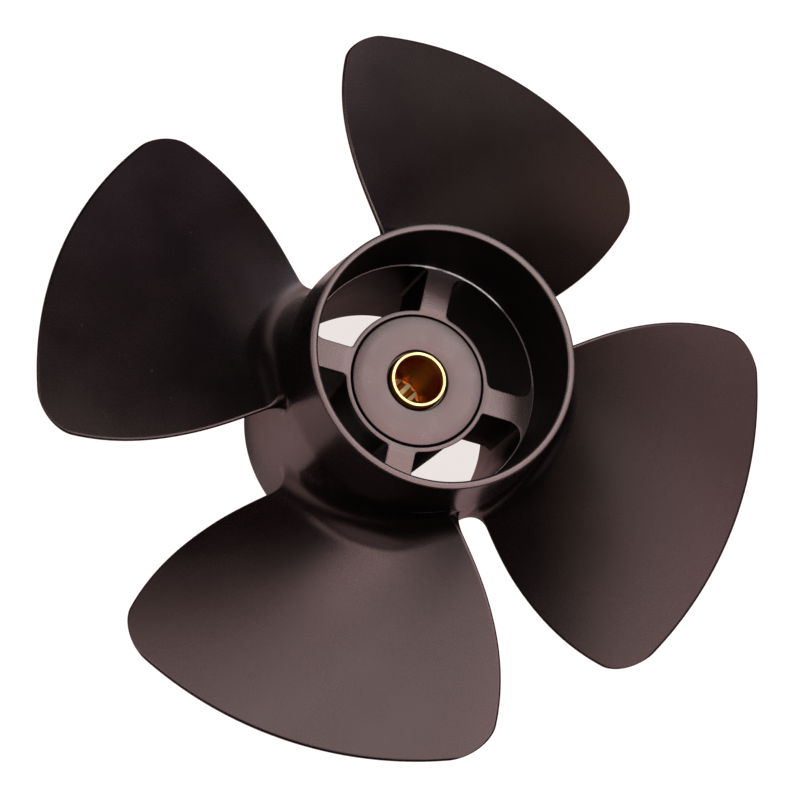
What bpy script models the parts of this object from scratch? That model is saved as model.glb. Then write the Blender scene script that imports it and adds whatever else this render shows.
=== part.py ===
"""Four-blade propeller of an outboard motor, with its exhaust passing through the hub.

The origin is the middle of the aft rim, on which the propeller stands. +Z runs forward along the shaft.
Run it with blender --background --python part.py, or from the text editor.
"""

import math

import bmesh
import bpy
from mathutils import Vector

MM = 0.001
SEAM = 0.3 * MM  # gap between neighbouring solids
OVERRUN = 1 * MM  # how far a cutter, or a piece to be trimmed, runs past the cut

# Barrel, whose forward rim suits a 3.5 inch gearcase
BARREL_LENGTH = 104 * MM
BARREL_RADIUS = 47.15 * MM
RIM_RADIUS = 44.45 * MM
TAPER_HEIGHT = 78.5 * MM  # from here the outside narrows to the forward rim
RIM_INNER_RADIUS = 41.9 * MM  # mouth of the counterbore
COUNTERBORE_RADIUS = 41.25 * MM
STEP_HEIGHT = 70.6 * MM  # plane of the ledge, the ribs and the inner hub's end
PASSAGE_RADIUS = 40.45 * MM  # cast wall at the ledge, with a draft that opens aft
THROAT_RADIUS = 42.7 * MM
THROAT_HEIGHT = 4 * MM  # below it the inner edge is chamfered
AFT_INNER_RADIUS = 44.9 * MM
AFT_RADIUS = 46.7 * MM
AFT_CURVE_HEIGHT = 30 * MM  # below it the outside draws in to the aft rim
AFT_CURVE_STEPS = 5
RIM_ROUNDING = 0.5 * MM

# Inner hub, cast with a draft and a lip round its forward end
HUB_FRONT_RADIUS = 24.95 * MM
HUB_BODY_RADIUS = 23.8 * MM
HUB_LIP_DEPTH = 7 * MM
HUB_AFT_RADIUS = 23.1 * MM
HUB_AFT_HEIGHT = 11 * MM
HUB_MOUTH_RADIUS = 23.25 * MM
MOUTH_DEPTH = 1.6 * MM
HUB_SHOULDER_RADIUS = 17.5 * MM

# Rubber bush pressed into the inner hub
BUSH_BORE_RADIUS = 21.8 * MM
BUSH_FACE_HEIGHT = 70.9 * MM
BUSH_FACE_RADIUS = 22.6 * MM
BUSH_FACE_EDGE = 0.3 * MM
BUSH_AFT_HEIGHT = 30 * MM
BUSH_RECESS_RADIUS = 10.55 * MM
BUSH_RECESS_DEPTH = 2.4 * MM

# Splined sleeve bonded into the bush
SLEEVE_FRONT_HEIGHT = 72.6 * MM
SLEEVE_AFT_HEIGHT = 24 * MM
SLEEVE_RADIUS = 9.6 * MM
SLEEVE_BORE_RADIUS = 8.3 * MM
SLEEVE_CHAMFER = 0.35 * MM
SPLINE_TOP_HEIGHT = 42 * MM
SPLINE_COUNT = 13
SPLINE_ROOT_RADIUS = 8.15 * MM
SPLINE_TIP_RADIUS = 7.2 * MM
TOOTH_START, TOOTH_END = 0.04, 0.40  # shares of a spline's pitch
GROOVE_SHARES = (0.50, 0.72, 0.94)

# Ribs, one on each diagonal
RIB_COUNT = 4
RIB_WIDTH = 9.8 * MM
RIB_AFT_HEIGHT = 34.5 * MM
RIB_HUB_FILLET = 2.6 * MM
RIB_BARREL_FILLET = 5.5 * MM
FIRST_RIB_ANGLE = math.radians(45)

# Blades: each is widest in angle at one radius and has a rounded corner at either end of its tip arc
BLADE_COUNT = 4
TIP_RADIUS = 127 * MM
WIDEST_RADIUS = 78 * MM
FIRST_BLADE_ANGLE = math.radians(40)  # of the line from which the edge angles are measured
LEADING_ANGLE = math.radians(34.75)
TRAILING_ANGLE = math.radians(36.6)
LEADING_CURVE = math.radians(0.00274) / MM**2  # edge angle lost per square metre off the widest radius
LEADING_ROOT_CURVE = math.radians(0.0038) / MM**2
TRAILING_CURVE = math.radians(0.00256) / MM**2
TRAILING_ROOT_CURVE = math.radians(0.0046) / MM**2
CORNER_DEPTH = 9 * MM  # along the radius
CORNER_REACH = 13 * MM  # along the tip arc
PITCH_RADIUS = 90 * MM  # where the next three values hold
MIDLINE_HEIGHT = 58.6 * MM  # of the forward face at the midline
RISE_PER_RADIAN = 30.6 * MM  # forward face: a screw of 192 mm pitch
RISE_CURVE = -7.9 * MM  # its pitch grows from the leading edge to the trailing edge
RAKE = -0.015  # height gained for each unit of radius
PITCH_EASE = -0.022  # rise per radian gained for each unit of radius
ROOT_THICKNESS = 8.2 * MM
TIP_THICKNESS = 2.6 * MM
EDGE_THICKNESS = 1.5 * MM
THICKNESS_POWER = 0.8  # how the middle thins from the root to the tip
SWELL_POWER = 0.9  # how a section thins from its middle to its edges
ROOT_FILLET = 8 * MM
LEADING_SWELL = 0.4  # share of the fillet's rise by which the leading edge reaches forward at the root

# Facets
ROUND_STEPS = 64
HUB_STEPS = 48
FILLET_STEPS = 4
CHORD_STEPS = 12
BODY_STEPS = 6
LAYERS = 6  # across the blade's thickness at its root
EDGE_STATIONS = (1.0, 0.92, 0.7, 0.35, 0.0)  # in edge radii from the middle of a rounded edge outwards
FILLET_STATIONS = (0.0, 0.07, 0.25, 0.55, 1.0)  # shares of the root fillet
CORNER_STATIONS = (0.25, 0.5, 0.7, 0.85, 0.93, 0.98, 1.0)  # shares of the tip corners' depth
SHARP_ANGLE = math.radians(40)
MERGE = 0.002 * MM
SCREW_MERGE = 0.01 * MM

# Name, colour, roughness and metallic value
PAINT = ("black_paint", (0.035, 0.030, 0.031), 0.42, 0.0)
MACHINED_PAINT = ("hub_paint", (0.070, 0.062, 0.060), 0.50, 0.0)
BRASS = ("brass", (0.80, 0.55, 0.20), 0.30, 1.0)


def clear_scene():
    for old in list(bpy.data.objects):
        bpy.data.objects.remove(old, do_unlink=True)


def collection(name):
    made = bpy.data.collections.new(name)
    bpy.context.scene.collection.children.link(made)
    return made


def material(name, colour, roughness, metallic):
    made = bpy.data.materials.new(name)
    made.use_nodes = True
    shader = made.node_tree.nodes["Principled BSDF"]
    shader.inputs["Base Color"].default_value = (*colour, 1.0)
    shader.inputs["Roughness"].default_value = roughness
    shader.inputs["Metallic"].default_value = metallic
    return made


def link_object(name, mesh, group, finish=None):
    """An object for the mesh. Without a finish it is a cutter, drawn as wire and not rendered."""
    made = bpy.data.objects.new(name, mesh)
    group.objects.link(made)
    if finish:
        mesh.materials.append(material(f"{name}_{finish[0]}", *finish[1:]))
    else:
        made.hide_render = True
        made.display_type = "WIRE"
    return made


def turned(name, profile, steps, group, finish=None, closed=True):
    """A profile of (radius, height) points, outer side first and downwards, turned round Z.

    A closed profile makes a ring. An open one starts and ends on the axis and makes a solid.
    """
    points = [(radius, 0, height) for radius, height in profile]
    edges = [(i, i + 1) for i in range(len(points) - 1)]
    if closed:
        edges.append((len(points) - 1, 0))
    mesh = bpy.data.meshes.new(name)
    mesh.from_pydata(points, edges, [])
    made = link_object(name, mesh, group, finish)
    screw = made.modifiers.new("turn", "SCREW")
    screw.axis = "Z"
    screw.steps = screw.render_steps = steps
    screw.use_merge_vertices = True
    screw.merge_threshold = SCREW_MERGE
    screw.use_smooth_shade = True
    return made


def extruded(name, outline, low, high, group, finish=None):
    """A flat outline, anticlockwise seen from above, made into a prism from low to high."""
    count = len(outline)
    vertices = [(x, y, low) for x, y in outline] + [(x, y, high) for x, y in outline]
    faces = [tuple(reversed(range(count))), tuple(range(count, 2 * count))]
    faces += [(i, (i + 1) % count, count + (i + 1) % count, count + i) for i in range(count)]
    mesh = bpy.data.meshes.new(name)
    mesh.from_pydata(vertices, [], faces)
    mesh.shade_smooth()
    mesh.set_sharp_from_angle(angle=SHARP_ANGLE)
    return link_object(name, mesh, group, finish)


def boolean(target, cutter, operation):
    modifier = target.modifiers.new(cutter.name, "BOOLEAN")
    modifier.operation = operation
    modifier.object = cutter
    modifier.solver = "EXACT"


def arc(centre, radius, start, end, steps):
    """Points on an arc, at angles from start to end in radians."""
    angles = [start + (end - start) * i / steps for i in range(steps + 1)]
    return [(centre[0] + radius * math.cos(a), centre[1] + radius * math.sin(a)) for a in angles]


def between(start, end, share):
    return start + (end - start) * share


def passage_radius(height):
    """Radius of the barrel's cast wall between its throat and the ledge."""
    return between(PASSAGE_RADIUS, THROAT_RADIUS, (STEP_HEIGHT - height) / (STEP_HEIGHT - THROAT_HEIGHT))


def hub_radius(depth):
    """Outer radius of the inner hub at a depth below its forward end."""
    body = between(HUB_BODY_RADIUS, HUB_AFT_RADIUS, depth / (STEP_HEIGHT - HUB_AFT_HEIGHT))
    lip = (HUB_FRONT_RADIUS - HUB_BODY_RADIUS) * max(0.0, 1 - depth / HUB_LIP_DEPTH) ** 2
    return body + lip


def hub_profile(clearance, lowest):
    """The inner hub's outer side from its forward end down to a height, moved out by a clearance."""
    depths = [HUB_LIP_DEPTH * share for share in (0, 0.25, 0.55, 1)] + [STEP_HEIGHT - lowest]
    return [(hub_radius(depth) + clearance, STEP_HEIGHT - depth) for depth in depths]


def make_barrel(group):
    rim = RIM_ROUNDING
    outer = arc((RIM_RADIUS - rim, BARREL_LENGTH - rim), rim, math.pi / 2, 0, FILLET_STEPS)
    outer.append((BARREL_RADIUS, TAPER_HEIGHT))
    for step in range(AFT_CURVE_STEPS + 1):
        share = step / AFT_CURVE_STEPS
        outer.append((between(BARREL_RADIUS, AFT_RADIUS, share**2), between(AFT_CURVE_HEIGHT, rim, share)))
    outer.append((AFT_RADIUS - rim, 0))
    inner = [
        (AFT_INNER_RADIUS, 0),
        (THROAT_RADIUS, THROAT_HEIGHT),
        (PASSAGE_RADIUS, STEP_HEIGHT),
        (COUNTERBORE_RADIUS, STEP_HEIGHT),
        (RIM_INNER_RADIUS, BARREL_LENGTH),
    ]
    return turned("barrel", outer + inner, ROUND_STEPS, group, PAINT)


def make_inner_hub(group):
    bush_seat = BUSH_AFT_HEIGHT - SEAM
    inside = [
        (HUB_SHOULDER_RADIUS, HUB_AFT_HEIGHT),
        (HUB_SHOULDER_RADIUS, bush_seat),
        (BUSH_BORE_RADIUS, bush_seat),
        (BUSH_BORE_RADIUS, STEP_HEIGHT - 2 * MOUTH_DEPTH),
        (HUB_MOUTH_RADIUS, STEP_HEIGHT - MOUTH_DEPTH),
        (HUB_MOUTH_RADIUS, STEP_HEIGHT),
    ]
    return turned("inner_hub", hub_profile(0, HUB_AFT_HEIGHT) + inside, HUB_STEPS, group, MACHINED_PAINT)


def make_rubber_bush(group):
    face, edge = BUSH_FACE_HEIGHT, BUSH_FACE_EDGE
    recess = face - BUSH_RECESS_DEPTH
    profile = [
        (BUSH_FACE_RADIUS - edge, face),
        (BUSH_FACE_RADIUS, face - edge),
        (BUSH_FACE_RADIUS, face - MOUTH_DEPTH),
        (BUSH_BORE_RADIUS - SEAM, face - 2 * MOUTH_DEPTH - 2 * SEAM),
        (BUSH_BORE_RADIUS - SEAM, BUSH_AFT_HEIGHT),
        (SLEEVE_RADIUS + SEAM, BUSH_AFT_HEIGHT),
        (SLEEVE_RADIUS + SEAM, recess),
        (BUSH_RECESS_RADIUS, recess),
        (BUSH_RECESS_RADIUS, face),
    ]
    return turned("rubber_bush", profile, HUB_STEPS, group, MACHINED_PAINT)


def spline_outline():
    """Section of the splined bore, with a flat tooth and a round groove in each pitch."""
    corners = [(TOOTH_START, SPLINE_TIP_RADIUS), (TOOTH_END, SPLINE_TIP_RADIUS)]
    corners += [(share, SPLINE_ROOT_RADIUS) for share in GROOVE_SHARES]
    pitch = 2 * math.pi / SPLINE_COUNT
    angles = [((tooth + share) * pitch, r) for tooth in range(SPLINE_COUNT) for share, r in corners]
    return [(radius * math.cos(angle), radius * math.sin(angle)) for angle, radius in angles]


def make_splined_sleeve(group, cutters):
    chamfer, top, bottom = SLEEVE_CHAMFER, SLEEVE_FRONT_HEIGHT, SLEEVE_AFT_HEIGHT
    solid = [
        (0, top),
        (SLEEVE_RADIUS - chamfer, top),
        (SLEEVE_RADIUS, top - chamfer),
        (SLEEVE_RADIUS, bottom + chamfer),
        (SLEEVE_RADIUS - chamfer, bottom),
        (0, bottom),
    ]
    sleeve = turned("splined_sleeve", solid, HUB_STEPS, group, BRASS, closed=False)
    low, high = bottom - OVERRUN, SPLINE_TOP_HEIGHT + OVERRUN
    boolean(sleeve, extruded("spline_broach", spline_outline(), low, high, cutters), "DIFFERENCE")
    bore = [
        (0, top + OVERRUN),
        (SLEEVE_BORE_RADIUS + chamfer + OVERRUN, top + OVERRUN),
        (SLEEVE_BORE_RADIUS, top - chamfer),
        (SLEEVE_BORE_RADIUS, SPLINE_TOP_HEIGHT),
        (0, SPLINE_TOP_HEIGHT),
    ]
    boolean(sleeve, turned("sleeve_bore", bore, HUB_STEPS, cutters, closed=False), "DIFFERENCE")
    return sleeve


def rib_side():
    """One side of a rib that runs along +X, from inside the hub's wall to inside the barrel's.

    A fillet at either end leads it round into the round wall that it meets.
    """
    half = RIB_WIDTH / 2
    near, far = RIB_HUB_FILLET, RIB_BARREL_FILLET
    near_centre = (math.sqrt((HUB_FRONT_RADIUS + near) ** 2 - (half + near) ** 2), half + near)
    far_centre = (math.sqrt((PASSAGE_RADIUS - far) ** 2 - (half + far) ** 2), half + far)
    near_angle = math.atan2(near_centre[1], near_centre[0])
    far_angle = math.atan2(far_centre[1], far_centre[0])
    side = arc(near_centre, near, near_angle - math.pi, -math.pi / 2, FILLET_STEPS)
    side += arc(far_centre, far, -math.pi / 2, far_angle, FILLET_STEPS)
    start, end = Vector(side[0]), Vector(side[-1])
    inside = start * (HUB_AFT_RADIUS - OVERRUN) / start.length
    outside = end * (THROAT_RADIUS + OVERRUN) / end.length
    return [tuple(inside)] + side + [tuple(outside)]


def rib_outline(angle):
    """Plan of a rib at an angle round the shaft."""
    side = rib_side()
    plan = [(x, -y) for x, y in side] + side[::-1]
    cos, sin = math.cos(angle), math.sin(angle)
    return [(x * cos - y * sin, x * sin + y * cos) for x, y in plan]


def make_rib(number, group, cutters):
    """A rib: a prism kept between the inner hub and the barrel's wall."""
    angle = FIRST_RIB_ANGLE + (number - 1) * 2 * math.pi / RIB_COUNT
    rib = extruded(f"rib_{number}", rib_outline(angle), RIB_AFT_HEIGHT, STEP_HEIGHT, group, MACHINED_PAINT)
    low, high = RIB_AFT_HEIGHT - OVERRUN, STEP_HEIGHT + OVERRUN
    hub_side = [(HUB_FRONT_RADIUS + SEAM, high)] + hub_profile(SEAM, low)
    space = [(passage_radius(high) - SEAM, high), (passage_radius(low) - SEAM, low)] + hub_side[::-1]
    boolean(rib, turned(f"rib_space_{number}", space, 2 * ROUND_STEPS, cutters), "INTERSECT")
    return rib


def corner_cut(radius):
    """What a tip corner, a quarter of an ellipse, takes off the edge along the tip arc."""
    depth = radius - (TIP_RADIUS - CORNER_DEPTH)
    if depth <= 0:
        return 0.0
    return CORNER_REACH * (1 - math.sqrt(max(0.0, 1 - (depth / CORNER_DEPTH) ** 2)))


def leading_edge(radius):
    """Angle of the leading edge off the blade's midline."""
    curve = LEADING_CURVE if radius > WIDEST_RADIUS else LEADING_ROOT_CURVE
    angle = LEADING_ANGLE - curve * (radius - WIDEST_RADIUS) ** 2
    return angle - corner_cut(radius) / radius


def trailing_edge(radius):
    """Angle of the trailing edge off the blade's midline, below zero."""
    curve = TRAILING_CURVE if radius > WIDEST_RADIUS else TRAILING_ROOT_CURVE
    angle = -TRAILING_ANGLE + curve * (radius - WIDEST_RADIUS) ** 2
    return angle + corner_cut(radius) / radius


def forward_face(radius, angle):
    """Height of the blade's forward face at an angle off the midline."""
    outwards = radius - PITCH_RADIUS
    rise = (RISE_PER_RADIAN + PITCH_EASE * outwards) * angle + RISE_CURVE * angle**2
    return MIDLINE_HEIGHT + RAKE * outwards + rise


def rise_per_radian(radius, angle):
    """Slope of the forward face round the axis."""
    return RISE_PER_RADIAN + PITCH_EASE * (radius - PITCH_RADIUS) + 2 * RISE_CURVE * angle


def body_thickness(radius, share):
    """Blade thickness at a share of the chord, before its edges are rounded."""
    span = (radius - BARREL_RADIUS) / (TIP_RADIUS - BARREL_RADIUS)
    middle = between(ROOT_THICKNESS, TIP_THICKNESS, span**THICKNESS_POWER)
    return between(EDGE_THICKNESS, middle, max(0.0, 4 * share * (1 - share)) ** SWELL_POWER)


def fillet_rise(distance, radius):
    """How far a fillet of this radius stands off the wall, at a distance from the wall it meets."""
    if distance >= radius:
        return 0.0
    return radius - math.sqrt(radius**2 - (radius - distance) ** 2)


def nose(distance, half):
    """Share of the full thickness at a distance from an edge that is rounded to a half circle."""
    if distance >= half:
        return 1.0
    return math.sqrt(max(0.0, 1 - (1 - distance / half) ** 2))


def chord_stations():
    """Pairs of a share of the chord between the rounded edges' middles and an offset in edge radii."""
    middle = [(step / CHORD_STEPS, 0.0) for step in range(1, CHORD_STEPS)]
    first = [(0.0, -offset) for offset in EDGE_STATIONS]
    return first + middle + [(1.0, offset) for offset in reversed(EDGE_STATIONS)]


def radial_stations():
    """Radii of the blade's sections, close together in the root fillet and in the tip corners."""
    fillet = [BARREL_RADIUS + SEAM + ROOT_FILLET * share for share in FILLET_STATIONS]
    body_end = TIP_RADIUS - CORNER_DEPTH
    body = [between(fillet[-1], body_end, step / BODY_STEPS) for step in range(1, BODY_STEPS + 1)]
    return fillet + body + [body_end + CORNER_DEPTH * share for share in CORNER_STATIONS]


def blade_section(radius, base_angle):
    """A section drawn on a cylinder of this radius: layers of points from the forward to the aft face.

    The root fillet swells the section: both faces move apart and both rounded edges grow.
    """
    swell = fillet_rise(radius - BARREL_RADIUS - SEAM, ROOT_FILLET)
    half_edge = EDGE_THICKNESS / 2 + swell
    per_radian = math.hypot(radius, RISE_PER_RADIAN)
    edge_angle = half_edge / per_radian
    first = trailing_edge(radius) - swell / per_radian
    last = leading_edge(radius) + LEADING_SWELL * swell / per_radian
    grid = [[] for _ in range(LAYERS + 1)]
    for share, offset in chord_stations():
        angle = between(first + edge_angle, last - edge_angle, share) + offset * edge_angle
        chord_share = (angle - first) / (last - first)
        edge_nose = nose(min(angle - first, last - angle) * per_radian, half_edge)
        roundness = min(edge_nose, nose(TIP_RADIUS - radius, EDGE_THICKNESS / 2))
        thick = (body_thickness(radius, chord_share) + 2 * swell) * roundness
        start = half_edge * (1 - roundness) - swell
        tilt = math.atan2(rise_per_radian(radius, angle), radius)
        for layer, row in enumerate(grid):
            depth = start + thick * layer / LAYERS
            turn = base_angle + angle + depth * math.sin(tilt) / radius
            height = forward_face(radius, angle) - depth * math.cos(tilt)
            row.append(Vector((radius * math.cos(turn), radius * math.sin(turn), height)))
    return grid


def outline_of(grid):
    """The points round a section: forward face, leading edge, aft face and trailing edge."""
    leading = [row[-1] for row in grid[1:-1]]
    trailing = [row[0] for row in reversed(grid[1:-1])]
    return grid[0] + leading + grid[-1][::-1] + trailing


def add_sheet(made, rows, closed):
    """Quads between neighbouring rows of points."""
    verts = [[made.verts.new(point) for point in row] for row in rows]
    width = len(rows[0])
    for row, row_next in zip(verts, verts[1:]):
        for i in range(width if closed else width - 1):
            j = (i + 1) % width
            made.faces.new((row[i], row_next[i], row_next[j], row[j]))


def make_blade(number, group):
    """A blade: a loft of its sections, capped at the root and drawn to a line at the tip."""
    base_angle = FIRST_BLADE_ANGLE + (number - 1) * 2 * math.pi / BLADE_COUNT
    sections = [blade_section(radius, base_angle) for radius in radial_stations()]
    made = bmesh.new()
    add_sheet(made, [outline_of(section) for section in sections], closed=True)
    add_sheet(made, sections[0], closed=False)
    bmesh.ops.remove_doubles(made, verts=made.verts, dist=MERGE)
    bmesh.ops.dissolve_degenerate(made, edges=made.edges, dist=MERGE)
    bmesh.ops.recalc_face_normals(made, faces=made.faces)
    mesh = bpy.data.meshes.new(f"blade_{number}")
    made.to_mesh(mesh)
    made.free()
    mesh.shade_smooth()
    mesh.set_sharp_from_angle(angle=SHARP_ANGLE)
    return link_object(f"blade_{number}", mesh, group, PAINT)


def build():
    clear_scene()
    group = collection("outboard_propeller")
    cutters = collection("cutters")
    make_barrel(group)
    make_inner_hub(group)
    make_rubber_bush(group)
    make_splined_sleeve(group, cutters)
    for number in range(1, RIB_COUNT + 1):
        make_rib(number, group, cutters)
    for number in range(1, BLADE_COUNT + 1):
        make_blade(number, group)


build()
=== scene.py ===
"""Looks of an outboard motor's four-blade propeller: a painted casting, a rubber bush and a brass sleeve.

Everything is in metres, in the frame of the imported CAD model. The origin is the middle of the aft rim,
on which the propeller stands, and +Z runs forward along the shaft.
"""

import math

import bmesh
import bpy
from mathutils import Matrix, Vector

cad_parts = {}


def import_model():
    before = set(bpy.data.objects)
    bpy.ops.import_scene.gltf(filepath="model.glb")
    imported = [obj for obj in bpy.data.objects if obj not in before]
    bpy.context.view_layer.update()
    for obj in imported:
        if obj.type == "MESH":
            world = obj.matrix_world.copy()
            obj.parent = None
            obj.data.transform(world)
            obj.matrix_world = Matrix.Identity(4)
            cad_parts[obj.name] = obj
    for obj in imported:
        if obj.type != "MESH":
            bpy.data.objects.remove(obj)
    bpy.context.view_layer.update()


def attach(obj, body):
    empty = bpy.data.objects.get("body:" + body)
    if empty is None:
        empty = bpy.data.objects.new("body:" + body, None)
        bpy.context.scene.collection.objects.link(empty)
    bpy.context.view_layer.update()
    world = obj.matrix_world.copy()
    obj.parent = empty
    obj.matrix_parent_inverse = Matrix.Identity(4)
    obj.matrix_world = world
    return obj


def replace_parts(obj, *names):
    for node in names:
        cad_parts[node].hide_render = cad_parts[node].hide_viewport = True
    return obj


MM = 0.001
BODY = "root"
SHARP_ANGLE = math.radians(32)
OUTSIDE, TURNED, INSIDE, WALL = range(4)  # slots of the casting's materials

# Barrel
BARREL_LENGTH = 104 * MM
BARREL_RADIUS = 47.15 * MM
RIM_RADIUS = 44.45 * MM
TAPER_HEIGHT = 78.5 * MM  # from here the outside narrows to the forward rim
TAPER_ROUNDING = 60 * MM
RIM_INNER_RADIUS = 41.9 * MM
COUNTERBORE_RADIUS = 41.25 * MM
STEP_HEIGHT = 70.6 * MM  # plane of the ledge, the ribs and the inner hub's end
PASSAGE_RADIUS = 40.6 * MM
THROAT_RADIUS = 42.7 * MM
THROAT_HEIGHT = 4 * MM
AFT_INNER_RADIUS = 44.9 * MM
AFT_RADIUS = 46.7 * MM
AFT_CURVE_HEIGHT = 30 * MM
RIM_ROUNDING = 0.5 * MM
RIM_END_ROUNDINGS = 0.75 * MM, 0.5 * MM  # of the forward rim's inner and outer edge
LEDGE_ROUNDING = 0.35 * MM
FINE_ROUNDING = 0.2 * MM

# Inner hub
HUB_FRONT_RADIUS = 24.95 * MM
HUB_BODY_RADIUS = 23.8 * MM
HUB_LIP_DEPTH = 7 * MM
HUB_AFT_RADIUS = 23.1 * MM
HUB_AFT_HEIGHT = 11 * MM
HUB_MOUTH_RADIUS = 23.25 * MM
HUB_SHOULDER_RADIUS = 17.5 * MM
MOUTH_DEPTH = 1.6 * MM

# Rubber bush
BUSH_BORE_RADIUS = 21.8 * MM
BUSH_GAP = 0.3 * MM
BUSH_FACE_HEIGHT = 70.9 * MM
BUSH_FACE_RADIUS = 22.6 * MM
BUSH_AFT_HEIGHT = 30 * MM
BUSH_RECESS_RADIUS = 10.55 * MM
BUSH_RECESS_DEPTH = 2.4 * MM

# Splined sleeve
SLEEVE_FRONT_HEIGHT = 72.6 * MM
SLEEVE_AFT_HEIGHT = 24 * MM
SLEEVE_RADIUS = 9.6 * MM
SLEEVE_BORE_RADIUS = 8.3 * MM
SLEEVE_CHAMFER = 0.35 * MM
SPLINE_TOP_HEIGHT = 42 * MM
SPLINE_COUNT = 13
SPLINE_ROOT_RADIUS = 8.15 * MM
SPLINE_TIP_RADIUS = 7.2 * MM
TOOTH_START, TOOTH_END = 0.04, 0.40  # shares of a spline's pitch
GROOVE_START, GROOVE_END = 0.50, 0.94
GROOVE_STEPS = 8

# Ribs, one on each diagonal
RIB_COUNT = 4
RIB_WIDTH = 9.8 * MM
RIB_AFT_HEIGHT = 34.5 * MM
PASSAGE_FILLETS = (  # mm, each passage's by its first rib at the hub and at the wall, then by its second
    (1.0, 1.6, 1.2, 5.0),
    (2.0, 5.0, 1.6, 5.0),
    (1.2, 5.0, 0.9, 5.0),
    (2.6, 4.2, 2.6, 3.6),
)
RIB_UNDER_ROUNDING = 1.2 * MM
FIRST_RIB_ANGLE = math.radians(45)
GLINT_AZIMUTHS = math.radians(8), math.radians(62)  # of the painted glint, a white stretch along the ledge
GLINT_FADE = math.radians(8)
WALL_INNER_RADIUS = 34 * MM
WALL_SHARE = 0.5
CUTTER_CLEARANCE = 0.04 * MM  # of a passage's cutter off the walls below the ribs

# Blades: each is widest in angle at one radius and has a rounded corner at either end of its tip arc
BLADE_COUNT = 4
TIP_RADIUS = 127 * MM
WIDEST_RADIUS = 78 * MM
FIRST_BLADE_ANGLE = math.radians(40)
LEADING_ANGLE = math.radians(34.75)
TRAILING_ANGLE = math.radians(36.6)
LEADING_CURVE = math.radians(0.00274) / MM**2  # edge angle lost per square metre off the widest radius
LEADING_ROOT_CURVE = math.radians(0.0038) / MM**2
TRAILING_CURVE = math.radians(0.00256) / MM**2
TRAILING_ROOT_CURVE = math.radians(0.0046) / MM**2
CORNER_DEPTH = 9 * MM
CORNER_REACH = 13 * MM
PITCH_RADIUS = 90 * MM
MIDLINE_HEIGHT = 58.6 * MM
RISE_PER_RADIAN = 30.6 * MM
RISE_CURVE = -7.9 * MM
RAKE = -0.015
PITCH_EASE = -0.022
ROOT_THICKNESS = 8.2 * MM
TIP_THICKNESS = 2.6 * MM
EDGE_THICKNESS = 1.5 * MM
THICKNESS_POWER = 0.8
SWELL_POWER = 0.9
ROOT_FILLET = 8 * MM
WIDEST_FILLET_EXTRA = 4 * MM
WIDEST_FILLET_SHARE = 0.62
WIDEST_FILLET_SPREAD = 0.8
LEADING_SWELL = 0.4
ROOT_DEPTH = 1.5 * MM  # how far a blade runs on inside the barrel's wall
BEVEL_WIDTH = 0.8 * MM  # flat ground along the leading edge
BEVEL_SLOPE = math.tan(math.radians(18))
BORDER_STEP = 0.06 * MM  # between the bevel and the first point of the plain face

# Facets
ROUND_STEPS = 240
HUB_STEPS = 160
LEVEL_SPACING = 4 * MM
ARC_STEPS = 5
PASSAGE_FILLET_STEPS = 10
PASSAGE_ARC_STEPS = 28
CHORD_STEPS = 44
FILLET_STEPS = 20
BODY_STEPS = 26
CORNER_STEPS = 16
LAYERS = 6
NOSE_STEPS = 5


def between(start, end, share):
    return start + (end - start) * share


def arc(centre, radius, start, end, steps):
    """Points on an arc, at angles from start to end in radians."""
    angles = [between(start, end, step / steps) for step in range(steps + 1)]
    return [(centre[0] + radius * math.cos(a), centre[1] + radius * math.sin(a)) for a in angles]


def rounded(corners, steps=ARC_STEPS):
    """A closed outline from corners (x, y, radius), each turned into an arc of its radius."""
    outline = []
    for i, (x, y, radius) in enumerate(corners):
        corner = Vector((x, y))
        if not radius:
            outline.append(corner)
            continue
        before = (Vector(corners[i - 1][:2]) - corner).normalized()
        after = (Vector(corners[(i + 1) % len(corners)][:2]) - corner).normalized()
        half = before.angle(after) / 2
        centre = corner + (before + after).normalized() * radius / math.sin(half)
        start = corner + before * radius / math.tan(half) - centre
        end = corner + after * radius / math.tan(half) - centre
        turn = math.pi - 2 * half
        for step in range(steps + 1):
            share = step / steps
            mixed = start * math.sin((1 - share) * turn) + end * math.sin(share * turn)
            outline.append(centre + mixed / math.sin(turn))
    return outline


def with_levels(outline, spacing=LEVEL_SPACING):
    """The outline with its long stretches divided."""
    made = []
    for start, end in zip(outline, outline[1:] + outline[:1]):
        start, end = Vector(start), Vector(end)
        parts = max(1, math.ceil((end - start).length / spacing))
        made += [start.lerp(end, step / parts) for step in range(parts)]
    return made


def mesh_object(name, bm, materials=()):
    """An object from a bmesh, smooth except across its sharp edges."""
    bmesh.ops.recalc_face_normals(bm, faces=bm.faces)
    mesh = bpy.data.meshes.new(name)
    bm.to_mesh(mesh)
    bm.free()
    for made in materials:
        mesh.materials.append(made)
    mesh.shade_smooth()
    mesh.set_sharp_from_angle(angle=SHARP_ANGLE)
    made = bpy.data.objects.new(name, mesh)
    bpy.context.scene.collection.objects.link(made)
    return made


def add_rows(bm, rows, closed_rows, closed_columns):
    """Quads between neighbouring rows of points. It returns the rows of vertices."""
    verts = [[bm.verts.new(point) for point in row] for row in rows]
    width = len(rows[0])
    following = verts[1:] + verts[:1] if closed_columns else verts[1:]
    for row, row_next in zip(verts, following):
        for i in range(width if closed_rows else width - 1):
            j = (i + 1) % width
            bm.faces.new((row[i], row_next[i], row_next[j], row[j]))
    return verts


def turned(name, outline, steps, materials=()):
    """A closed outline of (radius, height) points turned round Z."""
    rows = []
    for step in range(steps):
        angle = 2 * math.pi * step / steps
        rows.append([(r * math.cos(angle), r * math.sin(angle), z) for r, z in outline])
    bm = bmesh.new()
    add_rows(bm, rows, closed_rows=True, closed_columns=True)
    return mesh_object(name, bm, materials)


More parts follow.
